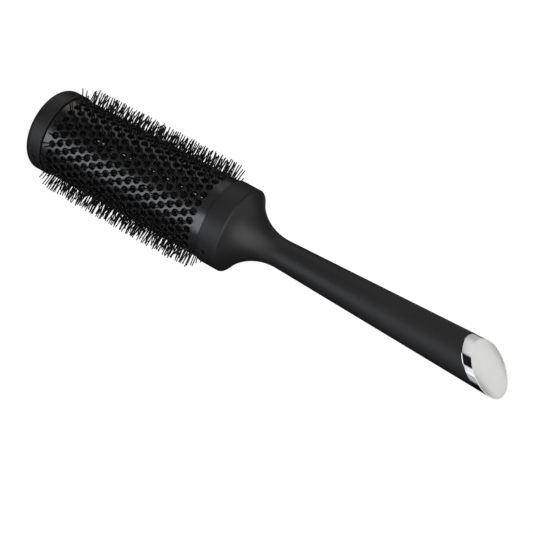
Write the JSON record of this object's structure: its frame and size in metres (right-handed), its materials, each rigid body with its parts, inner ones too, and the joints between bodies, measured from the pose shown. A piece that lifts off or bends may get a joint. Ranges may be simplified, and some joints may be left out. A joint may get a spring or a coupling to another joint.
{
  "type": "round barrel brush",
  "caption": "Round vented hair-styling brush: perforated metal barrel with nylon bristles, black end cap and collar, slim soft-touch handle and a slanted bright metal tail.",
  "frame": {"origin": "centre of the flat outer face of the end cap, on the brush's axis", "axes": "+Z along the brush's axis from the end cap to the handle; the long side of the slanted tail is towards +Y, so the tail plate faces -Y and +Z; the retaining pins lie along X"},
  "size_m": [0.0616, 0.0616, 0.2786],
  "materials": {
    "soft_touch_black": "matte soft-touch",
    "coated_metal": "semi-gloss ceramic-style coating",
    "bristle_nylon": "satin",
    "hub_nylon": "matte",
    "core_plastic": "matte",
    "seal_rubber": "matte",
    "pin_steel": "black oxide",
    "zinc_steel": "zinc plated",
    "chrome": "polished",
    "satin_metal": "satin"
  },
  "bodies": {
    "root": {"end_cap": "soft_touch_black", "cap_seal": "seal_rubber", "cap_pins": "pin_steel", "far_hub": "hub_nylon", "spindle_nut": "zinc_steel", "barrel": "coated_metal", "bristle_comb_01": "bristle_nylon", "bristle_comb_02": "bristle_nylon", "bristle_comb_03": "bristle_nylon", "bristle_comb_04": "bristle_nylon", "bristle_comb_05": "bristle_nylon", "bristle_comb_06": "bristle_nylon", "bristle_comb_07": "bristle_nylon", "bristle_comb_08": "bristle_nylon", "bristle_comb_09": "bristle_nylon", "bristle_comb_10": "bristle_nylon", "bristle_comb_11": "bristle_nylon", "bristle_comb_12": "bristle_nylon", "bristle_comb_13": "bristle_nylon", "bristle_comb_14": "bristle_nylon", "near_hub": "hub_nylon", "spindle": "zinc_steel", "collar": "soft_touch_black", "collar_pins": "pin_steel", "handle_core": "core_plastic", "handle_grip": "soft_touch_black", "tail_plug": "core_plastic", "tail_ferrule": "chrome", "tail_plate": "satin_metal"}
  },
  "joints": []
}
